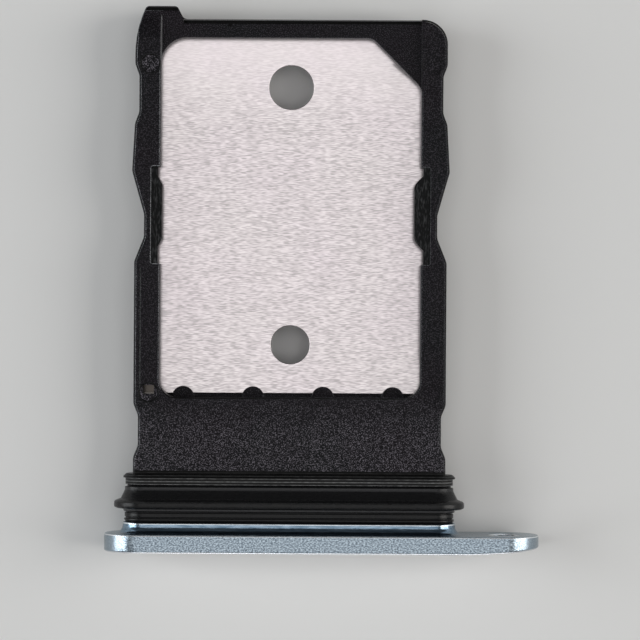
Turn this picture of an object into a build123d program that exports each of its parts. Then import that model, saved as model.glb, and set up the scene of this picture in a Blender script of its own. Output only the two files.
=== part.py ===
from build123d import *

import os

# SIM card tray: an aluminium end cap whose tongue is moulded into a black plastic frame, a lipped
# silicone seal in the groove behind the cap, a thin steel plate moulded in as the floor of the card
# pocket, and two silicone grips that hold the card by its long edges.
#
# Millimetres. X runs across the tray from its centre line. Y is the way the tray goes in, measured
# from the seating face of the cap. Z is up from mid height, towards the side the card is laid in from.

# Card and its pocket
card_length = 12.3
card_width = 8.8
card_end_clearance = 0.045
card_side_clearance = 0.08
pocket_depth = 0.72
pocket_key_cut = 1.7
pocket_key_radius = 0.45
pocket_lead_radius = 0.88
pocket_base_radius = 0.6
pocket_edge_chamfer = 0.04

# End cap, reaching past the neck on both sides and further on the side of the eject hole
cap_left_overhang = 0.64
cap_right_overhang = 2.88
cap_height = 2.5
cap_thickness = 0.65
cap_curve_length = 3.0
cap_curve_setback = 0.19
cap_edge_chamfer = 0.06
cap_back_chamfer = 0.04
eject_hole_radius = 0.525
eject_hole_inset = 1.2
eject_hole_chamfer = 0.06

# Neck of the end cap and the tongue inside the moulding
neck_radius = 0.74
neck_length = 0.39
neck_root_fillet = 0.28
neck_edge_chamfer = 0.04
tongue_width = 8.4
tongue_thickness = 0.4
tongue_length = 3.2
tongue_slot_length = 1.5
tongue_slot_width = 0.6
tongue_slot_pitch = 2.6
tongue_slot_setback = 0.75

# Seal and its groove
groove_width = 1.29
seal_recess = 0.085
seal_wall = 0.255
lip_height = 0.405
lip_start = 0.465
lip_width = 0.29
lip_tip_radius = 0.05
lip_flank_length = 0.4
lip_foot = 0.06
rim_height = 0.04
rim_setback = 0.04
flare_width = 0.16
flare_height = 0.07

# Collar and stem of the frame
collar_overhang = 0.36
collar_recess = 0.01
collar_width = 0.365
flange_width = 0.14
flange_step = 0.075
flange_chamfer = 0.09
stem_length = 2.635
stem_notch_from_collar = 1.495
stem_notch_floor = 1.06
stem_notch_depth = 0.16

# Rails, leading bar and tab
rail_width = 0.89
notch_ramp = 0.38
notch_corner_radius = 0.45
detent_from_middle = -0.29
detent_floor = 0.79
detent_depth = 0.33
detent_back_ramp = 0.83
detent_front_ramp = 1.48
crest_rise = 0.09
lead_notch_from_edge = 2.595
lead_notch_floor = 1.27
lead_notch_depth = 0.145
lead_bar = 0.64
lead_bar_drop = 0.18
lead_corner_radius = 0.85
lead_chamfer_length = 0.17
lead_chamfer_height = 0.1
tab_reach = 0.445
tab_top_width = 1.05
tab_inset = 0.37
tab_flank = 0.23
tab_taper = 0.89
tab_taper_radius = 4.0
tab_corner_radius = 0.16
tab_ramp_start = 0.65
tab_ramp_end = 0.14
rail_edge_chamfer = 0.07

# Marks of the pins that hold the plate in the mould
pin_mark_radius = 0.33
pin_mark_depth = 0.03
pin_mark_from_edge = 0.52
pin_mark_from_base = 0.17
pin_mark_from_lead = 0.92
pin_window_width = 0.38
pin_window_length = 0.31
pin_window_shift = 0.1

# Floor plate
plate_thickness = 0.28
plate_margin = 0.33
plate_corner_radius = 0.3
plate_gap = 0.155
plate_ear_length = 0.8
plate_ear_margin = 0.02
plate_leg_margin = 0.05
lead_hole_radius = 0.775
lead_hole_from_lead = 1.66
base_hole_radius = 0.675
base_hole_from_base = 1.83
moon_radius = 0.38
moon_pitch = 2.415
moon_count = 4
moon_shift = -0.07
moon_drop = 0.05
gap_depth = 0.16

# Plastic lip that carries the plate from below
floor_lip = 0.22
ledge_width = 0.55
window_corner_radius = 0.6

# Card grips
grip_length = 3.35
grip_from_middle = 0.08
grip_seat_depth = 0.32
grip_face_recess = 0.08
grip_drop = 0.05
grip_corner_radius = 0.06
bump_from_middle = 0.11
left_bump_height = 0.06
left_bump_length = 2.4
left_bump_ramp = 0.27
left_crest_radius = 0.1
right_bump_height = 0.23
right_bump_length = 2.57
right_bump_ramp = 0.32
right_crest_radius = 0.4

# Stations along the tray
neck_end = neck_length
collar_start = neck_end + groove_width
collar_end = collar_start + collar_width
pocket_start = collar_end + stem_length
pocket_length = card_length + 2 * card_end_clearance
pocket_end = pocket_start + pocket_length
pocket_middle = pocket_start + pocket_length / 2
lead_edge = pocket_end + lead_bar
tab_tip = lead_edge + tab_reach
tongue_end = neck_end + tongue_length

# Half widths across the tray
pocket_half = card_width / 2 + card_side_clearance
tray_half = pocket_half + rail_width
pin_mark_x = tray_half - pin_mark_from_edge
plate_half = pocket_half + plate_margin
ear_half = pin_mark_x + pin_window_width / 2 + plate_ear_margin
leg_half = pocket_half + plate_leg_margin
tab_outer_x = tab_inset - tray_half
tab_inner_x = tab_outer_x + tab_top_width
tab_foot_x = tab_inner_x + tab_flank

# Heights
tray_thickness = pocket_depth + plate_thickness + floor_lip
top_z = tray_thickness / 2
bottom_z = -top_z
floor_z = top_z - pocket_depth
plate_under_z = floor_z - plate_thickness
bar_z = top_z - lead_bar_drop
grip_top_z = top_z - grip_drop

# Radii of the rounded sections behind the cap, and the straight length that they share
collar_radius = neck_radius - collar_recess
collar_waist = collar_radius - flange_step
seal_radius = neck_radius - seal_recess
core_radius = seal_radius - seal_wall
lip_radius = seal_radius + lip_height
rim_radius = seal_radius + rim_height
flare_radius = seal_radius + flare_height
neck_straight = 2 * (tray_half + collar_overhang - collar_radius)

# Ends of the cap
neck_half = neck_straight / 2 + neck_radius
cap_left = -neck_half - cap_left_overhang
cap_right = neck_half + cap_right_overhang

# Stations of the pin marks and of the plate's edges
base_pin_y = pocket_start + pin_mark_from_base
lead_pin_y = pocket_end - pin_mark_from_lead
plate_base_y = pocket_start + plate_gap
plate_lead_y = pocket_end + plate_margin


def rounded_outline(corners):
    """Closed face through (x, y, corner radius) corners."""
    points = [(x, y) for x, y, radius in corners]
    radii = [radius for x, y, radius in corners]
    with BuildLine() as outline:
        FilletPolyline(*points, radius=radii, close=True)
    make_face(outline.edges())


def rail_corners(side):
    """Outer edge of one rail, from inside the collar to the far end of the leading notch."""
    stem_low = collar_end + stem_notch_from_collar - stem_notch_floor / 2
    stem_high = stem_low + stem_notch_floor
    detent_low = pocket_middle + detent_from_middle - detent_floor / 2
    detent_high = detent_low + detent_floor
    lead_low = lead_edge - lead_notch_from_edge - lead_notch_floor / 2
    lead_high = lead_low + lead_notch_floor
    edge = [
        (tray_half, stem_low - notch_ramp),
        (tray_half - stem_notch_depth, stem_low),
        (tray_half - stem_notch_depth, stem_high),
        (tray_half, stem_high + notch_ramp),
        (tray_half, detent_low - detent_back_ramp),
        (tray_half - detent_depth, detent_low),
        (tray_half - detent_depth, detent_high),
        (tray_half + crest_rise, detent_high + detent_front_ramp),
        (tray_half, lead_low - notch_ramp),
        (tray_half - lead_notch_depth, lead_low),
        (tray_half - lead_notch_depth, lead_high),
        (tray_half, lead_high + notch_ramp),
    ]
    start = (side * tray_half, collar_end - collar_width / 2, 0)
    return [start] + [(side * x, y, notch_corner_radius) for x, y in edge]


def tray_outline():
    """Plan of the moulding: both rails, the leading bar and the tab on its left end."""
    leading_end = [
        (tray_half, lead_edge, lead_corner_radius),
        (tab_foot_x, lead_edge, tab_corner_radius),
        (tab_inner_x, tab_tip, tab_corner_radius),
        (tab_outer_x, tab_tip, tab_corner_radius),
        (-tray_half, tab_tip - tab_taper, tab_taper_radius),
    ]
    rounded_outline(rail_corners(1) + leading_end + rail_corners(-1)[::-1])


def pocket_outline():
    """Plan of the card pocket, with the keyed corner at its leading right."""
    rounded_outline([
        (-pocket_half, pocket_start, pocket_base_radius),
        (pocket_half, pocket_start, pocket_base_radius),
        (pocket_half, pocket_end - pocket_key_cut, pocket_key_radius),
        (pocket_half - pocket_key_cut, pocket_end, pocket_key_radius),
        (-pocket_half, pocket_end, pocket_lead_radius),
    ])


def plate_outline():
    """Plan of the floor plate: ears under the pin marks, legs beside the pocket's base wall."""
    base_low = base_pin_y - plate_ear_length / 2
    base_high = base_low + plate_ear_length
    lead_low = lead_pin_y - plate_ear_length / 2
    lead_high = lead_low + plate_ear_length
    edge = [
        (leg_half, plate_base_y, 0),
        (leg_half, base_low, 0),
        (ear_half, base_low, 0),
        (ear_half, base_high, 0),
        (plate_half, base_high, 0),
        (plate_half, lead_low, 0),
        (ear_half, lead_low, 0),
        (ear_half, lead_high, 0),
        (plate_half, lead_high, 0),
        (plate_half, plate_lead_y, plate_corner_radius),
    ]
    rounded_outline(edge + [(-x, y, radius) for x, y, radius in edge[::-1]])
    half_moons(Mode.SUBTRACT)


def half_moons(mode):
    """Circles on the base wall of the pocket, where the moulding keys into the plate's edge."""
    with Locations((moon_shift, pocket_start)):
        with GridLocations(moon_pitch, 0, moon_count, 1):
            Circle(moon_radius, mode=mode)


def window_outline():
    """Plan of the opening under the plate, a ledge inside the pocket all round."""
    side = pocket_half - ledge_width
    base = plate_base_y + ledge_width
    lead = pocket_end - ledge_width
    corners = [(-side, base), (side, base), (side, lead), (-side, lead)]
    rounded_outline([(x, y, window_corner_radius) for x, y in corners])


def grip_slot():
    """Plan of the right-hand grip's slot, open to the pocket."""
    middle = pocket_middle + grip_from_middle
    seat = pocket_half + grip_seat_depth
    mouth = pocket_half - grip_seat_depth
    low = middle - grip_length / 2
    high = middle + grip_length / 2
    rounded_outline([
        (mouth, low, 0),
        (seat, low, grip_corner_radius),
        (seat, high, grip_corner_radius),
        (mouth, high, 0),
    ])


def tongue_outline():
    """Plan of the cap's tongue, with the slots that the moulding flows through."""
    with Locations((0, neck_end)):
        Rectangle(tongue_width, tongue_length, align=(Align.CENTER, Align.MIN))
    with Locations((0, tongue_end - tongue_slot_setback)):
        with GridLocations(tongue_slot_pitch, 0, 3, 1):
            SlotOverall(tongue_slot_length, tongue_slot_width, mode=Mode.SUBTRACT)


def grip_outline(side, bump_height, bump_length, bump_ramp, crest_radius):
    """Plan of a card grip: its seat in the rail and the bump on its face."""
    middle = pocket_middle + grip_from_middle
    seat = pocket_half + grip_seat_depth
    face = pocket_half + grip_face_recess
    crest = pocket_half - bump_height
    low = middle - grip_length / 2
    high = middle + grip_length / 2
    bump_low = middle + bump_from_middle - bump_length / 2
    bump_high = bump_low + bump_length
    edge = [
        (seat, low, grip_corner_radius),
        (face, low, grip_corner_radius),
        (face, bump_low, grip_corner_radius),
        (crest, bump_low + bump_ramp, crest_radius),
        (crest, bump_high - bump_ramp, crest_radius),
        (face, bump_high, grip_corner_radius),
        (face, high, grip_corner_radius),
        (seat, high, grip_corner_radius),
    ]
    rounded_outline([(side * x, y, radius) for x, y, radius in edge])


# End cap: rounded plate with its outer face bowed back at the eject hole, then neck and tongue
bow_radius = (cap_curve_length**2 + cap_curve_setback**2) / (2 * cap_curve_setback)
bow_start = (cap_right - cap_curve_length, -cap_thickness)
bow_end = (cap_right, cap_curve_setback - cap_thickness)
with BuildPart() as end_cap:
    with BuildSketch(Plane.XZ):
        with Locations(((cap_left + cap_right) / 2, 0)):
            SlotOverall(cap_right - cap_left, cap_height)
    extrude(amount=cap_thickness)
    chamfer(end_cap.faces().sort_by(Axis.Y)[-1].edges(), cap_back_chamfer)
    with BuildSketch(Plane.XY.offset(-cap_height / 2)):
        with BuildLine():
            RadiusArc(bow_start, bow_end, -bow_radius)
            Polyline(bow_end, (cap_right, -cap_thickness), bow_start)
        make_face()
    extrude(amount=cap_height, mode=Mode.SUBTRACT)
    outer_faces = end_cap.faces().filter_by(lambda face: face.normal_at().Y < -0.9)
    chamfer(outer_faces.edges().filter_by(Axis.Z, reverse=True), cap_edge_chamfer)
    with BuildSketch(Plane.XZ.offset(-neck_end)):
        SlotCenterToCenter(neck_straight, 2 * neck_radius)
    extrude(amount=neck_length)
    chamfer(end_cap.faces().sort_by(Axis.Y)[-1].edges(), neck_edge_chamfer)
    seat_face = end_cap.faces().filter_by(Plane.XZ).sort_by(Axis.Y)[-2]
    fillet(seat_face.inner_wires()[0].edges(), neck_root_fillet)
    with BuildSketch(Plane.XZ):
        with Locations((cap_right - eject_hole_inset, 0)):
            Circle(eject_hole_radius)
    extrude(amount=cap_thickness, mode=Mode.SUBTRACT)
    hole_walls = end_cap.faces().filter_by(GeomType.CYLINDER).filter_by(
        lambda face: abs(face.radius - eject_hole_radius) < 0.001)
    chamfer(hole_walls.edges().filter_by(GeomType.LINE, reverse=True), eject_hole_chamfer)
    with BuildSketch(Plane.XY.offset(-tongue_thickness / 2)):
        tongue_outline()
    extrude(amount=tongue_thickness)

# Seal: one lipped section carried round the neck
lip_back = neck_end + lip_start
lip_front = lip_back + lip_width
flank_end = lip_front + lip_flank_length
with BuildPart() as seal_ring:
    with BuildSketch(Plane.YZ.offset(neck_straight / 2)) as seal_section:
        with BuildLine():
            Polyline((neck_end, flare_radius), (neck_end, core_radius),
                     (collar_start, core_radius), (collar_start, seal_radius),
                     (collar_start - rim_setback, rim_radius), (flank_end, rim_radius))
            TangentArc((flank_end, rim_radius), (lip_front, lip_radius), tangent=(-1, 0))
            Polyline((lip_front, lip_radius), (lip_back, lip_radius),
                     (lip_back, seal_radius + lip_foot), (lip_back - lip_foot, seal_radius),
                     (neck_end + flare_width, seal_radius), (neck_end, flare_radius))
        make_face()
        fillet(seal_section.vertices().group_by(Axis.Y)[-1], lip_tip_radius)
    revolve(axis=Axis((neck_straight / 2, 0, 0), (0, 1, 0)), revolution_arc=90)
    extrude(seal_section.sketch, amount=-neck_straight / 2)
    mirror(about=Plane.XY)
    mirror(about=Plane.YZ)

# Frame: moulded block with the pocket, the plate's seat and the cap's tongue taken out of it
with BuildPart() as tray_frame:
    with BuildSketch(Plane.XY.offset(bottom_z)):
        tray_outline()
    extrude(amount=tray_thickness)
    chamfer(tray_frame.faces().filter_by(Axis.Z).edges(), rail_edge_chamfer)
    with BuildSketch(Plane.XY.offset(floor_z)):
        pocket_outline()
    extrude(amount=pocket_depth, mode=Mode.SUBTRACT)
    chamfer(tray_frame.faces().sort_by(Axis.Z)[-1].inner_wires()[0].edges(), pocket_edge_chamfer)
    # Collar with its flange, and the core under the seal
    with BuildSketch(Plane.XZ.offset(flange_chamfer - collar_end)) as flange:
        SlotCenterToCenter(neck_straight, 2 * collar_radius)
    extrude(amount=flange_width - flange_chamfer)
    extrude(flange.sketch, amount=-flange_chamfer, taper=45)
    with BuildSketch(Plane.XZ.offset(flange_width - collar_end)):
        SlotCenterToCenter(neck_straight, 2 * collar_waist)
    extrude(amount=collar_width - flange_width)
    with BuildSketch(Plane.XZ.offset(-collar_start)):
        SlotCenterToCenter(neck_straight, 2 * core_radius)
    extrude(amount=groove_width)
    # Seat of the plate, and the window that shows the plate from below
    with BuildSketch(Plane.XY.offset(plate_under_z)):
        plate_outline()
    extrude(amount=plate_thickness, mode=Mode.SUBTRACT)
    with BuildSketch(Plane.XY.offset(bottom_z)):
        window_outline()
    extrude(amount=floor_lip, mode=Mode.SUBTRACT)
    # Gap along the base wall, with the half moons that key the plate standing in it
    with BuildSketch(Plane.XY.offset(floor_z)):
        pocket_outline()
        with Locations((0, pocket_start)):
            Rectangle(2 * pocket_half, 2 * plate_gap, mode=Mode.INTERSECT)
        half_moons(Mode.SUBTRACT)
    extrude(amount=-gap_depth, mode=Mode.SUBTRACT)
    with BuildSketch(Plane.XY.offset(floor_z)):
        pocket_outline()
        half_moons(Mode.INTERSECT)
    extrude(amount=-moon_drop, mode=Mode.SUBTRACT)
    # Leading bar set below the rails, and the ramp of the left rail down to the tab
    with BuildSketch(Plane.XY.offset(bar_z)):
        with Locations((0, pocket_end - pocket_key_cut)):
            Rectangle(2 * pocket_half, tab_tip - pocket_middle, align=(Align.CENTER, Align.MIN))
    extrude(amount=lead_bar_drop, mode=Mode.SUBTRACT)
    with BuildSketch(Plane.YZ.offset(-pocket_half)):
        with BuildLine():
            Polyline((lead_edge - tab_ramp_start, top_z), (lead_edge + tab_ramp_end, bar_z),
                     (tab_tip, bar_z), (tab_tip, top_z), close=True)
        make_face()
    extrude(amount=-2 * rail_width, mode=Mode.SUBTRACT)
    for edge_y, from_x, to_x in (
        (lead_edge, tab_foot_x, pocket_half),
        (tab_tip, -tray_half, tab_foot_x),
    ):
        with BuildSketch(Plane.YZ.offset(from_x)):
            with BuildLine():
                Polyline((edge_y - lead_chamfer_length, bar_z), (edge_y, bar_z),
                         (edge_y, bar_z - lead_chamfer_height), close=True)
            make_face()
        extrude(amount=to_x - from_x, mode=Mode.SUBTRACT)
    # Slots for the grips
    with BuildSketch(Plane.XY.offset(floor_z)):
        grip_slot()
        mirror(about=Plane.YZ)
    extrude(amount=pocket_depth, mode=Mode.SUBTRACT)
    # Pin marks, and the one that stays open down to the plate
    with BuildSketch(Plane.XY.offset(top_z)):
        with Locations(*[(side * pin_mark_x, y) for side in (-1, 1) for y in (base_pin_y, lead_pin_y)]):
            Circle(pin_mark_radius)
    extrude(amount=-pin_mark_depth, mode=Mode.SUBTRACT)
    with BuildSketch(Plane.XY.offset(floor_z)):
        with Locations((-pin_mark_x, base_pin_y + pin_window_shift)):
            Rectangle(pin_window_width, pin_window_length)
    extrude(amount=pocket_depth, mode=Mode.SUBTRACT)
    # Room for the tongue of the cap
    with BuildSketch(Plane.XY.offset(-tongue_thickness / 2)):
        tongue_outline()
    extrude(amount=tongue_thickness, mode=Mode.SUBTRACT)

# Floor plate
with BuildPart() as card_plate:
    with BuildSketch(Plane.XY.offset(plate_under_z)):
        plate_outline()
        with Locations((0, pocket_end - lead_hole_from_lead)):
            Circle(lead_hole_radius, mode=Mode.SUBTRACT)
        with Locations((0, pocket_start + base_hole_from_base)):
            Circle(base_hole_radius, mode=Mode.SUBTRACT)
    extrude(amount=plate_thickness)

# Card grips
with BuildPart() as card_grip_left:
    with BuildSketch(Plane.XY.offset(floor_z)):
        grip_outline(-1, left_bump_height, left_bump_length, left_bump_ramp, left_crest_radius)
    extrude(amount=grip_top_z - floor_z)

with BuildPart() as card_grip_right:
    with BuildSketch(Plane.XY.offset(floor_z)):
        grip_outline(1, right_bump_height, right_bump_length, right_bump_ramp, right_crest_radius)
    extrude(amount=grip_top_z - floor_z)

pieces = {
    "end_cap": end_cap,
    "seal_ring": seal_ring,
    "tray_frame": tray_frame,
    "card_plate": card_plate,
    "card_grip_left": card_grip_left,
    "card_grip_right": card_grip_right,
}
os.makedirs("parts", exist_ok=True)
for name, piece in pieces.items():
    piece.part.label = name
    export_step(piece.part, f"parts/{name}.step")
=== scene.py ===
import math

import bmesh
import bpy
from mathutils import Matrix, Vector
from mathutils.bvhtree import BVHTree


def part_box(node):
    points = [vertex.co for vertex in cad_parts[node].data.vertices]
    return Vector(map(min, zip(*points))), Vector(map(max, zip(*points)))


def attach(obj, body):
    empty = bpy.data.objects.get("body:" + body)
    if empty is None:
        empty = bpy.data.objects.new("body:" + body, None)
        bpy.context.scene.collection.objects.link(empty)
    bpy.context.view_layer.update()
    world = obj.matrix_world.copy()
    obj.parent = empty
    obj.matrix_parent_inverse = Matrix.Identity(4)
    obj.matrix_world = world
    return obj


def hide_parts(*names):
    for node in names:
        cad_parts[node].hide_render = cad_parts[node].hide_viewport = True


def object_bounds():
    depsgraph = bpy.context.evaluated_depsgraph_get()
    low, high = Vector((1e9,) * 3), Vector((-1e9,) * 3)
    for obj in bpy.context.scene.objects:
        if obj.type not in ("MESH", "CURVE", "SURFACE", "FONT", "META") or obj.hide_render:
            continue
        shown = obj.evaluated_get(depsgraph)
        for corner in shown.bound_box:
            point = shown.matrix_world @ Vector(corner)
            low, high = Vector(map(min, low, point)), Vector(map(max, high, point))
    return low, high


# SIM card tray seen in plan, from straight above its card pocket, with the way it goes in pointing up.
# Metres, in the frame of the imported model: X across the tray, Y the way it goes in, Z up.
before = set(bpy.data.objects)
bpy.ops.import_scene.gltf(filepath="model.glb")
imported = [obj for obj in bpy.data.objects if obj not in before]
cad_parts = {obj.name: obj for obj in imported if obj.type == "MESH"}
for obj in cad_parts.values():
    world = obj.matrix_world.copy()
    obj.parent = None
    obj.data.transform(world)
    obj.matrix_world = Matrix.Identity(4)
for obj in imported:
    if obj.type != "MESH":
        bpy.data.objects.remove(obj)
cad_low, cad_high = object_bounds()
MM = 0.001

# Camera
camera_height = 100 * MM
camera_x = 1.03 * MM
camera_y = 7.372 * MM
camera_roll = math.radians(0.35)
view_width = 22.115 * MM
sensor_width = 36.0

# Softboxes: compass angle from +X and tilt from straight up in degrees, width and height along the tilt in
# millimetres, brightness, colour
softbox_distance = 300 * MM
softboxes = {
    "overhead": (0, 0, 267, 215, 1.0, (1.0, 0.99, 0.99)),
    "left": (180, 64, 165, 218, 4.0, (0.95, 0.98, 1.0)),
    "right": (0, 59, 165, 230, 4.0, (1.0, 0.98, 0.95)),
    "base": (270, 52, 240, 110, 1.0, (1.0, 1.0, 1.0)),
    "far_rim": (90, 85, 220, 30, 1.5, (1.0, 1.0, 1.0)),
    "near_rim": (270, 82, 220, 40, 4.0, (1.0, 1.0, 1.0)),
}

# Sky: its colour and light, its paleness where it is seen, and the sine of the height up to which
# reflections show that
sky_colour = (0.95, 0.97, 1.0)
sky_light = 0.1
sky_seen = 0.8
backdrop_full = 0.1
backdrop_end = 0.25

# Floor
floor_size = 0.3
floor_colour = (0.78, 0.78, 0.77)
floor_roughness = 0.9
floor_specular = 0.2

# Rounding of the edges, which leaves the seams between two pieces as they are
weld_distance = 0.0002 * MM
flat_angle = math.radians(0.5)
sharp_angle = math.radians(30)
seam_distance = 0.002 * MM
frame_edge_radius = 0.055 * MM
cap_edge_radius = 0.025 * MM
seal_edge_radius = 0.01 * MM
plate_edge_radius = 0.01 * MM
grip_edge_radius = 0.025 * MM
edge_segments = 3

# Places on the moulding in millimetres: the lined collar and the painted shade at its end, the grainy stem,
# the leading edges with painted highlights, the steps beside the bar, the pocket, the pin marks and the pit
# in the bar
collar_y = 2.18
collar_shade_y = 1.93
collar_shade_x = 5.3
collar_line_y = 1.688
collar_line_pitch = 0.1035
collar_line_half = 0.014
grain_full_y = 3.4
grain_faded_y = 4.8
lead_line = (0, 17.71, 0.33)
tip_line = (0, 18.155, 0.33)
lead_line_radius = 0.055
tab_foot_x = -3.75
step_x = 4.48
step_start_y = 16.35
key_start_y = 15.2
rail_line_x = -5.145
rail_line_start_y = 5.2
rail_line_end_y = 8.9
pocket_x = 4.6
mark_places = ((4.85, 4.85, 0.6), (4.85, 16.15, 0.6))
mark_radius = 0.33
pit_place = (-2.13, 17.515, 0.43)
pit_radius = 0.09
corner_start_y = 16.9
corner_end_y = 17.6
ring_half = 0.02
# Half widths at the steps: the left step's edge gets a painted highlight, the right step's is left without
# one
step_highlight_half = 0.04
unlit_step_half = 0.1
rail_line_half = 0.012
place_fade = 0.02
wide_fade = 0.1

# Places on the plate in millimetres: the corner of the ear that shows in the pin mark's window, the painted
# highlight line across that window, and the cleaner end
ear_x = -4.55
ear_y = 5.4
window_highlight_y = (4.79, 4.82)
clean_start_y = 14.0
clean_end_y = 16.5

# Places along the cap in millimetres: where the smoother neck starts, its painted highlight edge and that of
# the band
neck_y = 0.03
neck_edge_y = 0.325
cap_edge_y = -0.058
bright_edge_width = 0.03

# Section of the seal in millimetres, from the neck to the collar: the way along the groove and the distance
# from the axis of its round ends. Flare, band between two grooves, foot of the lip, lip, conical flank, rim
seal_section = (
    (0.0, 0.402), (0.0, 0.66), (0.04, 0.66), (0.055, 0.70), (0.115, 0.70), (0.13, 0.65), (0.16, 0.65),
    (0.175, 0.68), (0.305, 0.68), (0.32, 0.645), (0.35, 0.645), (0.365, 0.72), (0.45, 0.725), (0.465, 0.95),
    (0.51, 1.045), (0.60, 1.055), (0.685, 1.045), (0.73, 1.0), (0.80, 0.82), (1.09, 0.678), (1.205, 0.675),
    (1.215, 0.60), (1.29, 0.58), (1.29, 0.402),
)
seal_end_steps = 32

# Lines of the seal with painted highlights, in millimetres: the foot of its lip and its rim
foot_y = (0.79, 0.84)
rim_y = (1.49, 1.60)

# Depth of the fine relief in millimetres
frame_relief = 0.012
cap_relief = 0.003
seal_relief = 0.003

# Features a millimetre of the grain, clouds, streaks and lines, and how some are stretched
frame_grain_scale = 30
frame_cloud_scale = 0.4
collar_break_scale = 14
collar_break_stretch = (0.4, 1, 0)
plate_streak_scale = (5.5, 47, 41)
plate_cloud_scale = 0.3
cap_grain_scale = 24
cap_grain_stretch = (0.62, 1, 1)
neck_line_scale = 20
neck_line_stretch = (0.1, 1, 1)
seal_grain_scale = 18
seal_grain_stretch = (0.3, 1, 1)
grip_streak_scale = 22
grip_streak_stretch = (1, 0.25, 1)

# Colours of the moulding
frame_black = (0.006, 0.0055, 0.0065)
skin_warm = (0.0052, 0.0036, 0.0054)
skin_cool = (0.0036, 0.0042, 0.0050)
fleck_grey = (0.17, 0.157, 0.18)
# Painted shade, laid on the lead-in ramp, round the left pin marks, in the pit and along the foot of the stem
painted_shade_black = (0.001, 0.001, 0.001)
collar_black = (0.012, 0.012, 0.0122)
collar_line_grey = (0.19, 0.192, 0.192)
# Edges painted lighter, part wear and part painted highlight
wear_and_highlight_grey = (0.4, 0.415, 0.435)
# Painted highlight on the left step's edge
step_highlight_grey = (0.2, 0.2, 0.205)
# Painted highlight round the right corner
corner_highlight_grey = (0.3, 0.295, 0.285)
rail_line_grey = (0.07, 0.075, 0.075)
# Painted highlights along the leading edge and the tip
lead_highlight_grey = (0.2, 0.2, 0.2)
tip_highlight_grey = (0.1, 0.1, 0.1)

# Colours of the plate
plate_grey = (0.69, 0.64, 0.645)
steel_pale = (0.88, 0.819, 0.819)
steel_pink = (0.885, 0.805, 0.828)
steel_dark = (0.505, 0.467, 0.472)
# Painted shade on the plate deep in the pin mark's window, and a painted highlight line across it
window_shade_brown = (0.08, 0.069, 0.06)
window_highlight_grey = (0.35, 0.33, 0.31)

# Colours of the cap and its neck
cap_grey = (0.30, 0.35, 0.40)
satin_dark = (0.10, 0.135, 0.17)
satin_light = (0.50, 0.59, 0.66)
round_end_grey = (0.30, 0.36, 0.41)
turned_dark = (0.10, 0.165, 0.23)
turned_light = (0.30, 0.40, 0.50)
# Painted highlights along an edge of the neck and of the band
neck_edge_highlight = (0.85, 0.9, 0.94)
cap_edge_highlight = (0.85, 0.88, 0.9)
# Front face painted lighter, standing in for the light it catches head on
lit_front_grey = (0.76, 0.765, 0.79)

# Colours of the silicone
seal_black = (0.005, 0.005, 0.0055)
# Painted highlights along the seal's rim and the foot of its lip
rim_highlight_grey = (0.024, 0.024, 0.0255)
foot_highlight_grey = (0.05, 0.05, 0.052)
grip_black = (0.006, 0.006, 0.0064)
grip_dark = (0.003, 0.0034, 0.0036)
grip_streak_grey = (0.042, 0.043, 0.044)


def surface(name):
    """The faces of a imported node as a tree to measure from."""
    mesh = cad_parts[name].data
    points = [vertex.co for vertex in mesh.vertices]
    return BVHTree.FromPolygons(points, [face.vertices for face in mesh.polygons])


surfaces = {name: surface(name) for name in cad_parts}


def is_rounded(edge, node):
    """True for a sharp edge that lies on no other piece."""
    if not edge.is_manifold or edge.calc_face_angle() < sharp_angle:
        return False
    middle = (edge.verts[0].co + edge.verts[1].co) / 2
    others = [tree for name, tree in surfaces.items() if name != node]
    return all(tree.find_nearest(middle)[3] > seam_distance for tree in others)


def node_shape(node):
    """The solid of a node with whole faces in place of its triangles."""
    shape = bmesh.new()
    shape.from_mesh(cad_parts[node].data)
    bmesh.ops.remove_doubles(shape, verts=shape.verts, dist=weld_distance)
    bmesh.ops.dissolve_limit(shape, angle_limit=flat_angle, verts=shape.verts, edges=shape.edges)
    return shape


def seal_shape():
    """The seal's section carried round its two straight sides and round ends."""
    low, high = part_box("seal_ring")
    straight_half = high.x - high.z
    shape = bmesh.new()
    loops = []
    for centre, start in ((straight_half, -math.pi / 2), (-straight_half, math.pi / 2)):
        for step in range(seal_end_steps + 1):
            angle = start + math.pi * step / seal_end_steps
            points = [(centre + radius * MM * math.cos(angle), low.y + y * MM, radius * MM * math.sin(angle))
                      for y, radius in seal_section]
            loops.append([shape.verts.new(point) for point in points])
    for loop, following in zip(loops, loops[1:] + loops[:1]):
        for first, second in zip(range(len(loop)), [*range(1, len(loop)), 0]):
            shape.faces.new((loop[first], loop[second], following[second], following[first]))
    bmesh.ops.recalc_face_normals(shape, faces=shape.faces)
    return shape


def dressed_piece(node, shape, name, slot, material, edge_radius):
    """Piece that stands for a node, made from a shape with its sharp edges rounded."""
    rounded = [edge for edge in shape.edges if is_rounded(edge, node)]
    bmesh.ops.bevel(shape, geom=rounded, offset=edge_radius, offset_type="OFFSET", segments=edge_segments,
                    profile=0.5, affect="EDGES", clamp_overlap=False)
    mesh = bpy.data.meshes.new(name)
    shape.to_mesh(mesh)
    shape.free()
    mesh.polygons.foreach_set("use_smooth", [True] * len(mesh.polygons))
    mesh.materials.append(material)
    piece = bpy.data.objects.new(name, mesh)
    bpy.context.scene.collection.objects.link(piece)
    weighted = piece.modifiers.new("flat_faces", "WEIGHTED_NORMAL")
    weighted.weight = 100
    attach(piece, "root")
    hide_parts(node)


def new_material(name, colour, metallic, roughness, specular):
    """A material with its even values on the shader itself."""
    material = bpy.data.materials.new(name)
    material.use_nodes = True
    shader = material.node_tree.nodes["Principled BSDF"]
    shader.inputs["Base Color"].default_value = (*colour, 1)
    shader.inputs["Metallic"].default_value = metallic
    shader.inputs["Roughness"].default_value = roughness
    shader.inputs["Specular IOR Level"].default_value = specular
    return material, material.node_tree, shader


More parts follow.
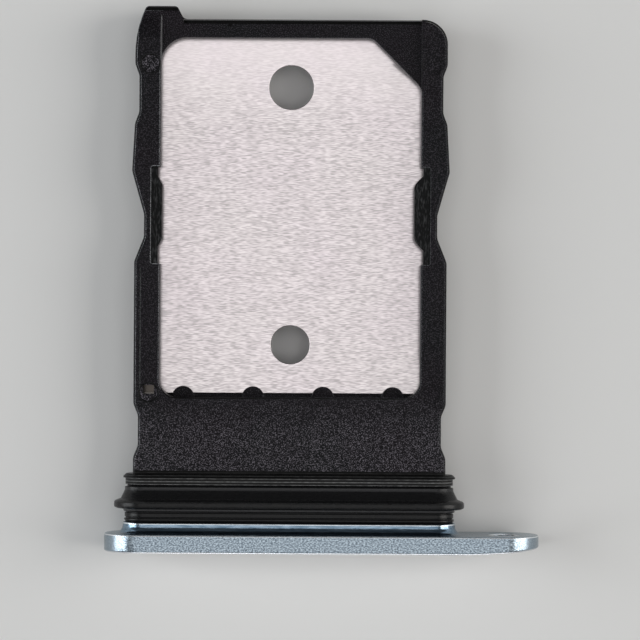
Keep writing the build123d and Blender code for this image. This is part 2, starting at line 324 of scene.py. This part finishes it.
def place(tree, stretch=(1, 1, 1)):
    """The place on the part in millimetres, stretched along each axis."""
    position = tree.nodes.new("ShaderNodeTexCoord")
    mapping = tree.nodes.new("ShaderNodeMapping")
    mapping.inputs["Scale"].default_value = [factor / MM for factor in stretch]
    tree.links.new(position.outputs["Object"], mapping.inputs["Vector"])
    return mapping.outputs["Vector"]


def along(tree, where, axis):
    """How far along an axis a place is."""
    node = tree.nodes.new("ShaderNodeSeparateXYZ")
    tree.links.new(where, node.inputs["Vector"])
    return node.outputs[axis]


def distance(tree, where, centre):
    """How far a place is from a centre."""
    node = tree.nodes.new("ShaderNodeVectorMath")
    node.operation = "DISTANCE"
    tree.links.new(where, node.inputs[0])
    node.inputs[1].default_value = centre
    return node.outputs["Value"]


def noise(tree, where, scale, detail=2.0, roughness=0.5):
    """Noise with that many features a millimetre."""
    node = tree.nodes.new("ShaderNodeTexNoise")
    node.inputs["Scale"].default_value = scale
    node.inputs["Detail"].default_value = detail
    node.inputs["Roughness"].default_value = roughness
    tree.links.new(where, node.inputs["Vector"])
    return node.outputs["Fac"]


def remap(tree, value, low, high, to_low, to_high):
    """A value from one range carried over to another, held at its ends."""
    node = tree.nodes.new("ShaderNodeMapRange")
    tree.links.new(value, node.inputs["Value"])
    for socket, number in zip(("From Min", "From Max", "To Min", "To Max"), (low, high, to_low, to_high)):
        node.inputs[socket].default_value = number
    return node.outputs["Result"]


def combine(tree, operation, first, second):
    """Two values put together by a sum such as MULTIPLY or MAXIMUM."""
    node = tree.nodes.new("ShaderNodeMath")
    node.operation = operation
    tree.links.new(first, node.inputs[0])
    tree.links.new(second, node.inputs[1])
    return node.outputs["Value"]


def times(tree, *values):
    """Product of some values."""
    result = values[0]
    for value in values[1:]:
        result = combine(tree, "MULTIPLY", result, value)
    return result


def within(tree, value, low, high, fade):
    """1 between two bounds, fading to 0 outside them."""
    return times(tree, remap(tree, value, low - fade, low, 0, 1), remap(tree, value, high, high + fade, 1, 0))


def tint(tree, factor, first, second):
    """Colour between two, by a factor from 0 to 1."""
    node = tree.nodes.new("ShaderNodeMix")
    node.data_type = "RGBA"
    tree.links.new(factor, node.inputs["Factor"])
    for socket, colour in (("A", first), ("B", second)):
        target = [entry for entry in node.inputs if entry.name == socket and entry.type == "RGBA"][0]
        if isinstance(colour, tuple):
            target.default_value = (*colour, 1)
        else:
            tree.links.new(colour, target)
    return [entry for entry in node.outputs if entry.type == "RGBA"][0]


def soft_edges(tree, radius):
    """Normals that run round the sharp edges."""
    node = tree.nodes.new("ShaderNodeBevel")
    node.samples = 8
    node.inputs["Radius"].default_value = radius
    return node.outputs["Normal"]


def edge_mask(tree, normal):
    """1 on the rounded edges, 0 on the faces between them."""
    own = tree.nodes.new("ShaderNodeNewGeometry")
    node = tree.nodes.new("ShaderNodeVectorMath")
    node.operation = "DOT_PRODUCT"
    tree.links.new(normal, node.inputs[0])
    tree.links.new(own.outputs["Normal"], node.inputs[1])
    return remap(tree, node.outputs["Value"], 0.93, 0.98, 1, 0)


def facing(tree, axis):
    """How far a face turns towards an axis."""
    node = tree.nodes.new("ShaderNodeNewGeometry")
    return along(tree, node.outputs["True Normal"], axis)


def relief(tree, height, depth, normal=None):
    """Normals of a relief of that depth in millimetres."""
    node = tree.nodes.new("ShaderNodeBump")
    node.inputs["Distance"].default_value = depth * MM
    tree.links.new(height, node.inputs["Height"])
    if normal:
        tree.links.new(normal, node.inputs["Normal"])
    return node.outputs["Normal"]


def mark_distance(tree, where):
    """How far a place is from the nearest pin mark, the same on both rails."""
    node = tree.nodes.new("ShaderNodeVectorMath")
    node.operation = "ABSOLUTE"
    tree.links.new(where, node.inputs[0])
    mirrored = node.outputs["Vector"]
    return combine(tree, "MINIMUM", *[distance(tree, mirrored, centre) for centre in mark_places])


def collar_foot_shade(tree, where):
    """1 in the painted shade along the foot of the stem."""
    return times(tree, within(tree, along(tree, where, "Y"), collar_shade_y, collar_y - place_fade, place_fade),
                 within(tree, along(tree, where, "X"), -collar_shade_x, collar_shade_x, wide_fade))


def collar_colour(tree, where):
    """Colour of the collar: light lines round it on black, fading into the painted shade at its foot."""
    y = along(tree, where, "Y")
    start = tree.nodes.new("ShaderNodeMath")
    start.operation = "SUBTRACT"
    tree.links.new(y, start.inputs[0])
    start.inputs[1].default_value = collar_line_y
    nearest = tree.nodes.new("ShaderNodeMath")
    nearest.operation = "PINGPONG"
    tree.links.new(start.outputs["Value"], nearest.inputs[0])
    nearest.inputs[1].default_value = collar_line_pitch / 2
    line = remap(tree, nearest.outputs["Value"], 0.5 * collar_line_half, 1.5 * collar_line_half, 1, 0)
    breaks = noise(tree, place(tree, collar_break_stretch), collar_break_scale)
    broken = remap(tree, breaks, 0.35, 0.65, 0.4, 1)
    # The lines fade into painted shade along the foot of the stem
    fading = remap(tree, y, collar_shade_y, collar_shade_y + 0.08, 1, 0.1)
    ground = tint(tree, collar_foot_shade(tree, where), collar_black, painted_shade_black)
    return tint(tree, times(tree, line, broken, fading), ground, collar_line_grey)


def frame_grain(tree, where, grain):
    """Colour of the moulded skin: lines round the collar, coarse grain on the stem, weaker on the rails, and
    painted shade on the lead-in ramp, round the left pin marks and in the pit.
    """
    y = along(tree, where, "Y")
    on_left = remap(tree, along(tree, where, "X"), -0.5, 0.5, 1, 0.3)
    lead_in = remap(tree, facing(tree, "Y"), 0.15, 0.45, 0, 1)
    near_mark = mark_distance(tree, where)
    strength = remap(tree, y, grain_full_y, grain_faded_y, 0.95, 0.28)
    on_mark = times(tree, remap(tree, near_mark, 0.9 * mark_radius, mark_radius, 1, 0), on_left)
    strength = combine(tree, "MAXIMUM", strength, on_mark)
    flecks = times(tree, remap(tree, grain, 0.5, 0.8, 0, 1), strength)
    clouds = remap(tree, noise(tree, where, frame_cloud_scale), 0.35, 0.65, 0, 1)
    skin = tint(tree, clouds, skin_warm, skin_cool)
    skin = tint(tree, flecks, skin, fleck_grey)
    ring = within(tree, near_mark, mark_radius - ring_half, mark_radius + ring_half, place_fade)
    pit = remap(tree, distance(tree, where, pit_place), 0.6 * pit_radius, pit_radius, 1, 0)
    # Painted shade: the lead-in ramp turned towards the far end, a ring round the left pin marks and the pit
    # are darkened
    for dark in (lead_in, times(tree, ring, on_left), pit):
        skin = tint(tree, dark, skin, painted_shade_black)
    on_collar = remap(tree, y, collar_y - place_fade, collar_y, 1, 0)
    return tint(tree, on_collar, skin, collar_colour(tree, where))


def frame_wear_and_highlights(tree, where, grain, skin, edges):
    """Colour of the skin with its edges lighter, part wear and part painted highlight, most of all the
    leading ones, with painted highlights at the left step and the right corner.
    """
    x = along(tree, where, "X")
    y = along(tree, where, "Y")
    broken = remap(tree, grain, 0.4, 0.6, 0.3, 1)
    behind_collar = remap(tree, y, collar_y + 0.02, collar_y + 0.07, 0, 1)
    clear_of_marks = remap(tree, mark_distance(tree, where), mark_radius, 1.3 * mark_radius, 0, 1)
    # At the right step the painted edge highlight is left off
    beside_step = within(tree, x, step_x - unlit_step_half, step_x + unlit_step_half, place_fade)
    at_right_step = times(tree, beside_step, remap(tree, y, key_start_y, key_start_y + wide_fade, 0, 1))
    # How strong the painted edge highlight is by side: full on the left outer edges, rising across the
    # pocket, weak on the right outer edges
    inside = remap(tree, x, -pocket_x, pocket_x, 0, 0.35)
    level = combine(tree, "MAXIMUM", inside, remap(tree, x, 0.1 - pocket_x, 0.2 - pocket_x, 1, 0))
    level = combine(tree, "MINIMUM", level, remap(tree, x, pocket_x, pocket_x + 0.2, 1, 0.2))
    worn_and_lit = times(tree, edges, behind_collar, clear_of_marks, broken, level)
    worn_and_lit = times(tree, worn_and_lit, remap(tree, at_right_step, 0, 1, 1, 0))
    skin = tint(tree, worn_and_lit, skin, wear_and_highlight_grey)
    # Painted highlight along the left step's edge
    at_left_step = within(tree, x, -step_x - step_highlight_half, step_highlight_half - step_x, 0.01)
    step = times(tree, edges, at_left_step, broken,
                 remap(tree, y, step_start_y, step_start_y + wide_fade, 0, 1))
    skin = tint(tree, step, skin, step_highlight_grey)
    # Painted highlight round the right corner
    corner = times(tree, edges, remap(tree, x, pocket_x, pocket_x + wide_fade, 0, 1),
                   remap(tree, y, corner_start_y, corner_end_y, 0, 1))
    skin = tint(tree, corner, skin, corner_highlight_grey)
    on_line = within(tree, x, rail_line_x - rail_line_half, rail_line_x + rail_line_half, 0.01)
    rail_line = times(tree, on_line, broken, within(tree, y, rail_line_start_y, rail_line_end_y, 0.4))
    skin = tint(tree, rail_line, skin, rail_line_grey)
    # Painted highlights along the leading edge and the tip
    for line, colour in ((lead_line, lead_highlight_grey), (tip_line, tip_highlight_grey)):
        from_line = distance(tree, place(tree, (0, 1, 1)), line)
        leading = times(tree, remap(tree, from_line, 0.6 * lead_line_radius, lead_line_radius, 1, 0),
                        remap(tree, grain, 0.3, 0.6, 0.7, 1))
        if line == lead_line:
            leading = times(tree, leading, within(tree, x, tab_foot_x, step_x, wide_fade))
        skin = tint(tree, leading, skin, colour)
    return skin


def frame_plastic():
    """Black moulded plastic with a spark-eroded grain, edges lighter from wear and painted highlight, and
    painted shade in its hollows.
    """
    material, tree, shader = new_material("frame_plastic", frame_black, 0, 0.35, 0.1)
    where = place(tree)
    grain = noise(tree, where, frame_grain_scale, 0)
    rounded = soft_edges(tree, frame_edge_radius)
    skin = frame_grain(tree, where, grain)
    worn_and_lit = frame_wear_and_highlights(tree, where, grain, skin, edge_mask(tree, rounded))
    tree.links.new(worn_and_lit, shader.inputs["Base Color"])
    tree.links.new(remap(tree, grain, 0.35, 0.7, 0.3, 0.42), shader.inputs["Roughness"])
    tree.links.new(relief(tree, grain, frame_relief, rounded), shader.inputs["Normal"])
    return material


def plate_steel():
    """Satin steel, its dark grain across the tray weaker at the far end, with painted shade and a painted
    highlight line in the pin mark's window.
    """
    material, tree, shader = new_material("plate_steel", plate_grey, 0.7, 0.18, 0.5)
    where = place(tree)
    y = along(tree, where, "Y")
    streaks = remap(tree, noise(tree, place(tree, plate_streak_scale), 1, 0), 0.3, 0.7, 0, 1)
    grain = times(tree, streaks, remap(tree, y, clean_start_y, clean_end_y, 1, 0.35))
    clouds = remap(tree, noise(tree, where, plate_cloud_scale), 0.35, 0.65, 0, 1)
    pale = tint(tree, clouds, steel_pale, steel_pink)
    steel = tint(tree, grain, pale, steel_dark)
    # Painted shade on the plate in the pin mark's window, with a painted highlight line across it
    under_window = times(tree, remap(tree, along(tree, where, "X"), ear_x - place_fade, ear_x, 1, 0),
                         remap(tree, y, ear_y, ear_y + place_fade, 1, 0))
    window = tint(tree, within(tree, y, *window_highlight_y, 0.005), window_shade_brown, window_highlight_grey)
    steel = tint(tree, under_window, steel, window)
    tree.links.new(steel, shader.inputs["Base Color"])
    tree.links.new(remap(tree, streaks, 0, 1, 0.15, 0.2), shader.inputs["Roughness"])
    return material


def cap_metal():
    """Anodised aluminium: painted lighter on the front face, bead blasted round the band, darker on the
    turned neck, with painted highlights along an edge of the neck and of the band.
    """
    material, tree, shader = new_material("cap_metal", cap_grey, 1, 0.26, 0.5)
    y = along(tree, place(tree), "Y")
    on_front = remap(tree, facing(tree, "Y"), -0.7, -0.5, 1, 0)
    on_neck = remap(tree, y, neck_y - place_fade, neck_y + place_fade, 0, 1)
    grain = noise(tree, place(tree, cap_grain_stretch), cap_grain_scale, 2, 0.6)
    speckle = remap(tree, grain, 0.36, 0.64, 0, 1)
    satin = tint(tree, speckle, satin_dark, satin_light)
    on_round = remap(tree, facing(tree, "Z"), 0.8, 0.97, 0.75, 0)
    satin = tint(tree, on_round, satin, round_end_grey)
    lines = noise(tree, place(tree, neck_line_stretch), neck_line_scale, 3, 0.6)
    turned = tint(tree, remap(tree, lines, 0.35, 0.65, 0, 1), turned_dark, turned_light)
    # Painted highlights along an edge of the neck and of the band
    on_neck_edge = within(tree, y, neck_edge_y, neck_edge_y + bright_edge_width, 0.01)
    turned = tint(tree, on_neck_edge, turned, neck_edge_highlight)
    on_cap_edge = within(tree, y, cap_edge_y, cap_edge_y + bright_edge_width, 0.005)
    satin = tint(tree, on_cap_edge, satin, cap_edge_highlight)
    # Front face painted lighter, standing in for the light it catches head on
    shade = tint(tree, on_front, tint(tree, on_neck, satin, turned), lit_front_grey)
    tree.links.new(shade, shader.inputs["Base Color"])
    tree.links.new(remap(tree, on_neck, 0, 1, 0.27, 0.2), shader.inputs["Roughness"])
    tree.links.new(relief(tree, grain, cap_relief), shader.inputs["Normal"])
    return material


def seal_silicone():
    """Smooth silicone, a little glossy, with painted highlight lines along the seal's foot and rim."""
    material, tree, shader = new_material("seal_silicone", seal_black, 0, 0.3, 0.25)
    y = along(tree, place(tree), "Y")
    grain = noise(tree, place(tree, seal_grain_stretch), seal_grain_scale)
    # Painted highlights along the rim and the foot of the lip
    skin = tint(tree, within(tree, y, *rim_y, 0.01), seal_black, rim_highlight_grey)
    skin = tint(tree, within(tree, y, *foot_y, 0.01), skin, foot_highlight_grey)
    tree.links.new(skin, shader.inputs["Base Color"])
    tree.links.new(remap(tree, grain, 0.3, 0.7, 0.24, 0.36), shader.inputs["Roughness"])
    tree.links.new(relief(tree, grain, seal_relief), shader.inputs["Normal"])
    return material


def grip_silicone():
    """Dull silicone with faint streaks along the rail."""
    material, tree, shader = new_material("grip_silicone", grip_black, 0, 0.42, 0.1)
    streaks = noise(tree, place(tree, grip_streak_stretch), grip_streak_scale, 1)
    skin = tint(tree, remap(tree, streaks, 0.5, 0.75, 0, 1), grip_dark, grip_streak_grey)
    tree.links.new(skin, shader.inputs["Base Color"])
    tree.links.new(remap(tree, streaks, 0.3, 0.7, 0.36, 0.48), shader.inputs["Roughness"])
    return material


def softbox(name, azimuth, tilt, width, height, brightness, colour):
    """Area lamp aimed at the middle of the part."""
    lamp = bpy.data.lights.new(name, "AREA")
    lamp.shape = "RECTANGLE"
    lamp.size = width * MM
    lamp.size_y = height * MM
    lamp.energy = brightness * math.pi * lamp.size * lamp.size_y
    lamp.color = colour
    across = math.radians(azimuth)
    down = math.radians(tilt)
    away = Vector((math.sin(down) * math.cos(across), math.sin(down) * math.sin(across), math.cos(down)))
    holder = bpy.data.objects.new(name, lamp)
    holder.location = (cad_low + cad_high) / 2 + softbox_distance * away
    holder.rotation_euler = away.to_track_quat("Z", "Y").to_euler()
    bpy.context.scene.collection.objects.link(holder)


def make_floor():
    """Plain pale floor under the lowest point of the part."""
    half = floor_size / 2
    mesh = bpy.data.meshes.new("floor")
    corners = [(-half, -half, 0), (half, -half, 0), (half, half, 0), (-half, half, 0)]
    mesh.from_pydata(corners, [], [(0, 1, 2, 3)])
    mesh.materials.append(new_material("floor", floor_colour, 0, floor_roughness, floor_specular)[0])
    floor = bpy.data.objects.new("floor", mesh)
    floor.location.z = cad_low.z
    bpy.context.scene.collection.objects.link(floor)


def make_world():
    """Even dim sky, pale where the camera sees it and in what reflections show of it low down."""
    world = bpy.data.worlds.new("studio")
    world.use_nodes = True
    tree = world.node_tree
    sky = tree.nodes["Background"]
    sky.inputs["Color"].default_value = (*sky_colour, 1)
    ray = tree.nodes.new("ShaderNodeLightPath")
    direction = tree.nodes.new("ShaderNodeTexCoord")
    height = along(tree, direction.outputs["Generated"], "Z")
    low_down = remap(tree, height, backdrop_full, backdrop_end, 1, 0)
    through = combine(tree, "MAXIMUM", ray.outputs["Is Glossy Ray"], ray.outputs["Is Transmission Ray"])
    seen = combine(tree, "MAXIMUM", ray.outputs["Is Camera Ray"], times(tree, through, low_down))
    tree.links.new(remap(tree, seen, 0, 1, sky_light, sky_seen), sky.inputs["Strength"])
    bpy.context.scene.world = world


def make_camera():
    """Camera straight above the tray, framed as a square."""
    lens = bpy.data.cameras.new("camera")
    lens.sensor_width = sensor_width
    lens.lens = sensor_width * camera_height / view_width
    lens.clip_start = 1 * MM
    lens.clip_end = 10
    camera = bpy.data.objects.new("camera", lens)
    camera.location = (camera_x, camera_y, camera_height)
    camera.rotation_euler = (0, 0, camera_roll)
    bpy.context.scene.collection.objects.link(camera)
    bpy.context.scene.camera = camera


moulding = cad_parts["tray_frame"]
moulding.data.materials.clear()
moulding.data.materials.append(frame_plastic())
grip_material = grip_silicone()
pieces = {
    "end_cap": ("machined_cap", "cap_metal", cap_metal(), cap_edge_radius),
    "seal_ring": ("lipped_seal", "seal_silicone", seal_silicone(), seal_edge_radius),
    "card_plate": ("pocket_floor", "plate_steel", plate_steel(), plate_edge_radius),
    "card_grip_left": ("grip_pad_left", "grip_silicone", grip_material, grip_edge_radius),
    "card_grip_right": ("grip_pad_right", "grip_silicone", grip_material, grip_edge_radius),
}
for node, setting in pieces.items():
    shape = seal_shape() if node == "seal_ring" else node_shape(node)
    dressed_piece(node, shape, *setting)

make_floor()
make_world()
make_camera()
for name, setting in softboxes.items():
    softbox(name, *setting)
bpy.context.scene.view_settings.view_transform = "Standard"
